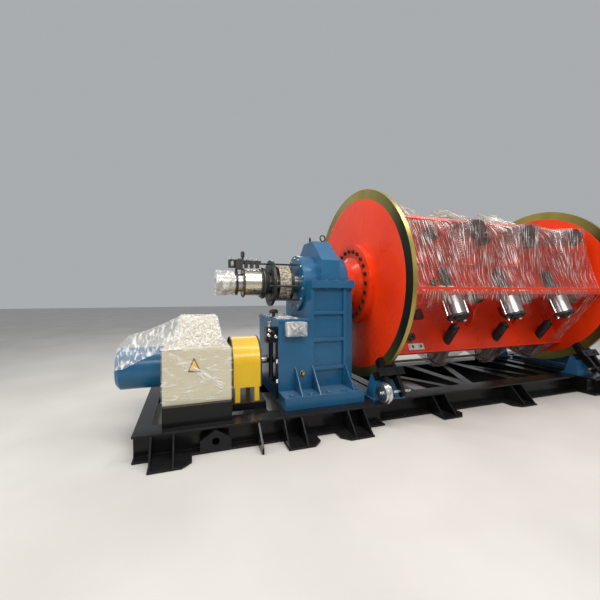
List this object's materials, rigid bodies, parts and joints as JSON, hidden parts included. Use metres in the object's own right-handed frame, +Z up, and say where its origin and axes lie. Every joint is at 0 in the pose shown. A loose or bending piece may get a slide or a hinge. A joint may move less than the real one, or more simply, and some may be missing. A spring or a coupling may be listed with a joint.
{
  "type": "rigid stranding machine",
  "caption": "Rigid wire stranding machine: a driven six-sided bobbin cage between two discs, with gearbox, motor, disc brakes and a floor base.",
  "frame": {"origin": "centre of the machine's overall box, on the floor", "axes": "+X along the machine axis from the drive to the tail, +Y away from the operator side, +Z up"},
  "size_m": [6.28, 2.136, 2.4338],
  "materials": {
    "orange_paint": "gloss",
    "blue_paint": "gloss",
    "black_paint": "gloss",
    "yellow_paint": "gloss",
    "beige_paint": "satin",
    "brake_ring_steel": "turned",
    "dark_steel": "satin",
    "bright_steel": "machined",
    "chrome_rod": "polished",
    "pale_conduit": "matte",
    "brake_lining": "satin"
  },
  "bodies": {
    "base": {"gear_housing_lower": "blue_paint", "gear_housing_upper": "blue_paint", "bearing_caps": "blue_paint", "speed_gearbox": "blue_paint", "speed_gearbox_lid": "blue_paint", "brush_frame": "dark_steel", "motor_pedestal": "black_paint", "motor": "blue_paint", "motor_guard": "beige_paint", "input_coupling": "bright_steel", "coupling_guard": "yellow_paint", "brake_plates": "blue_paint", "brake_stands": "blue_paint", "brake_ties": "brake_lining", "brake_arms": "brake_lining", "brake_chambers": "bright_steel", "coupling_seat": "black_paint", "foot_gussets": "black_paint", "side_lugs": "black_paint", "tail_pedestal": "blue_paint", "tail_cap": "blue_paint", "drive_base_beams": "black_paint", "cage_base_beams": "black_paint", "tail_base_beams": "black_paint", "base_cross_members": "black_paint", "anchor_feet": "black_paint", "lifting_lugs": "black_paint", "cage_braces": "black_paint", "rear_conduit": "pale_conduit", "conduit_clamps": "black_paint", "lifting_eyes": "black_paint", "junction_box": "blue_paint", "oil_pump": "dark_steel"},
    "cage": {"cage_discs": "orange_paint", "brake_rims": "brake_ring_steel", "head_hub": "orange_paint", "tail_hub": "orange_paint", "cage_core": "orange_paint", "cage_webs": "orange_paint", "corner_bands": "orange_paint", "diaphragms": "orange_paint", "pintle_discs": "dark_steel", "pintle_heads": "dark_steel", "pintle_quills": "dark_steel", "clamp_cylinders": "bright_steel", "cylinder_plates": "dark_steel", "clamp_rods": "chrome_rod", "main_shaft": "bright_steel", "shaft_nose": "bright_steel", "slip_ring_drum": "bright_steel", "cover_drum": "bright_steel"}
  },
  "joints": [
    {"name": "cage_spin", "type": "hinge", "parent": "base", "child": "cage", "pos_m": [0, 0, 1.366], "axis": [1, 0, 0], "continuous": true}
  ]
}
